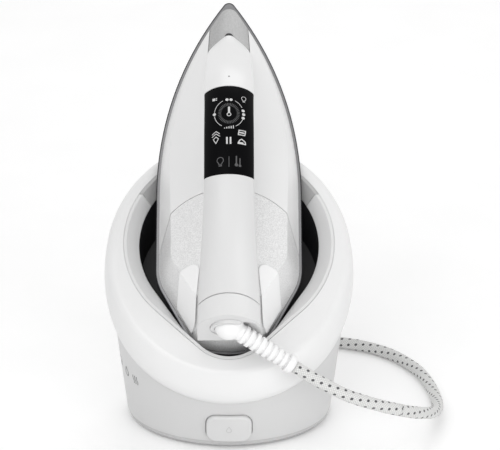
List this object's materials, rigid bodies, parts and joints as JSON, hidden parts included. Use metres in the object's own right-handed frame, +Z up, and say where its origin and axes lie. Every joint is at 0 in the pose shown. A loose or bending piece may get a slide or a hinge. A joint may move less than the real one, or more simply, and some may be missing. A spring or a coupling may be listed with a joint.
{
  "type": "steam generator iron",
  "caption": "Steam iron parked nose up in a round docking base with boiler, tank and push button, joined by a braided steam hose on a ball swivel.",
  "frame": {"origin": "on the floor under the middle of the box of the iron and its base, hose not counted", "axes": "+X to the right of a person who faces the heel and the control panel, +Y from the heel of the parked iron towards its tip, +Z up"},
  "size_m": [0.2677, 0.3457, 0.2935],
  "materials": {
    "white_plastic": "satin moulded",
    "grey_plastic": "fine grain",
    "liner_grey": "fine grain",
    "dark_plastic": "fine grain",
    "panel_black": "polished",
    "silver_pearl": "pearl paint",
    "sole_metal": "polished face",
    "cast_metal": "as cast",
    "steel": "bright",
    "copper_pipe": "drawn",
    "rubber_black": "matt",
    "silicone_grey": "matt",
    "board_green": "solder mask",
    "lamp_dark": "smoked",
    "tank_clear": "translucent",
    "hose_braid": "braided"
  },
  "bodies": {
    "base": {"base_tray": "grey_plastic", "rubber_feet": "rubber_black", "tray_screws": "steel", "base_shell": "grey_plastic", "collar": "white_plastic", "collar_liner": "liner_grey", "rear_insert": "dark_plastic", "cradle_tub": "dark_plastic", "rest_ramp": "dark_plastic", "rest_pads": "silicone_grey", "button_bracket": "dark_plastic", "button_switch": "dark_plastic", "button_spring": "steel", "water_tank": "tank_clear", "boiler": "cast_metal", "boiler_heater": "steel", "boiler_thermostat": "steel", "pump": "dark_plastic", "pump_mount": "rubber_black", "solenoid_valve": "dark_plastic", "feed_tube": "silicone_grey", "water_tube": "silicone_grey", "steam_tube": "copper_pipe", "outlet_tube": "copper_pipe", "power_board": "board_green", "hose_gland": "grey_plastic", "mains_gland": "liner_grey", "hose_run": "hose_braid", "hose_coil": "hose_braid", "hose_tail": "hose_braid", "coil_tie": "dark_plastic"},
    "iron": {"soleplate": "sole_metal", "heater_casting": "cast_metal", "sole_heater": "steel", "chamber_cover": "cast_metal", "sole_thermostat": "steel", "skirt": "white_plastic", "rear_shell": "silver_pearl", "heel_lobe_left": "white_plastic", "heel_lobe_right": "white_plastic", "nose_cap": "grey_plastic", "nose_lamp": "lamp_dark", "handle_frame": "white_plastic", "grip_cover": "white_plastic", "control_panel": "panel_black", "control_board": "board_green", "heel_cover": "white_plastic", "swivel_socket": "dark_plastic", "trigger_switch": "dark_plastic", "trigger_pin": "steel", "trigger_spring": "steel", "steam_pipe": "copper_pipe", "hose_lead": "hose_braid"},
    "hose_swivel": {"hose_swivel": "white_plastic", "strain_relief": "white_plastic"},
    "steam_trigger": {"steam_trigger": "dark_plastic"},
    "front_button": {"front_button": "white_plastic"},
    "fill_cap": {"fill_cap": "white_plastic"}
  },
  "joints": [
    {"name": "iron_lift", "type": "slide", "parent": "base", "child": "iron", "axis": [0, 0, 1], "range_m": [0, 0.15]},
    {"name": "hose_swing", "type": "hinge", "parent": "iron", "child": "hose_swivel", "pos_m": [0, -0.11591, 0.11828], "axis": [0, -0.682, -0.7314], "range_deg": [-10, 40]},
    {"name": "trigger_press", "type": "hinge", "parent": "iron", "child": "steam_trigger", "pos_m": [0, -0.0335, 0.24654], "axis": [-1, 0, 0], "range_deg": [0, 6], "stiffness_Nm_per_rad": 2, "springref_deg": -2.86, "deforming": ["trigger_spring"]},
    {"name": "button_press", "type": "slide", "parent": "base", "child": "front_button", "axis": [0, 1, 0], "range_m": [0, 0.003], "stiffness_N_per_m": 800, "springref_m": -0.002, "deforming": ["button_spring"]},
    {"name": "cap_turn", "type": "hinge", "parent": "base", "child": "fill_cap", "pos_m": [0.004, 0.05574, 0.096], "axis": [0, 1, 0], "range_deg": [0, 90]}
  ]
}
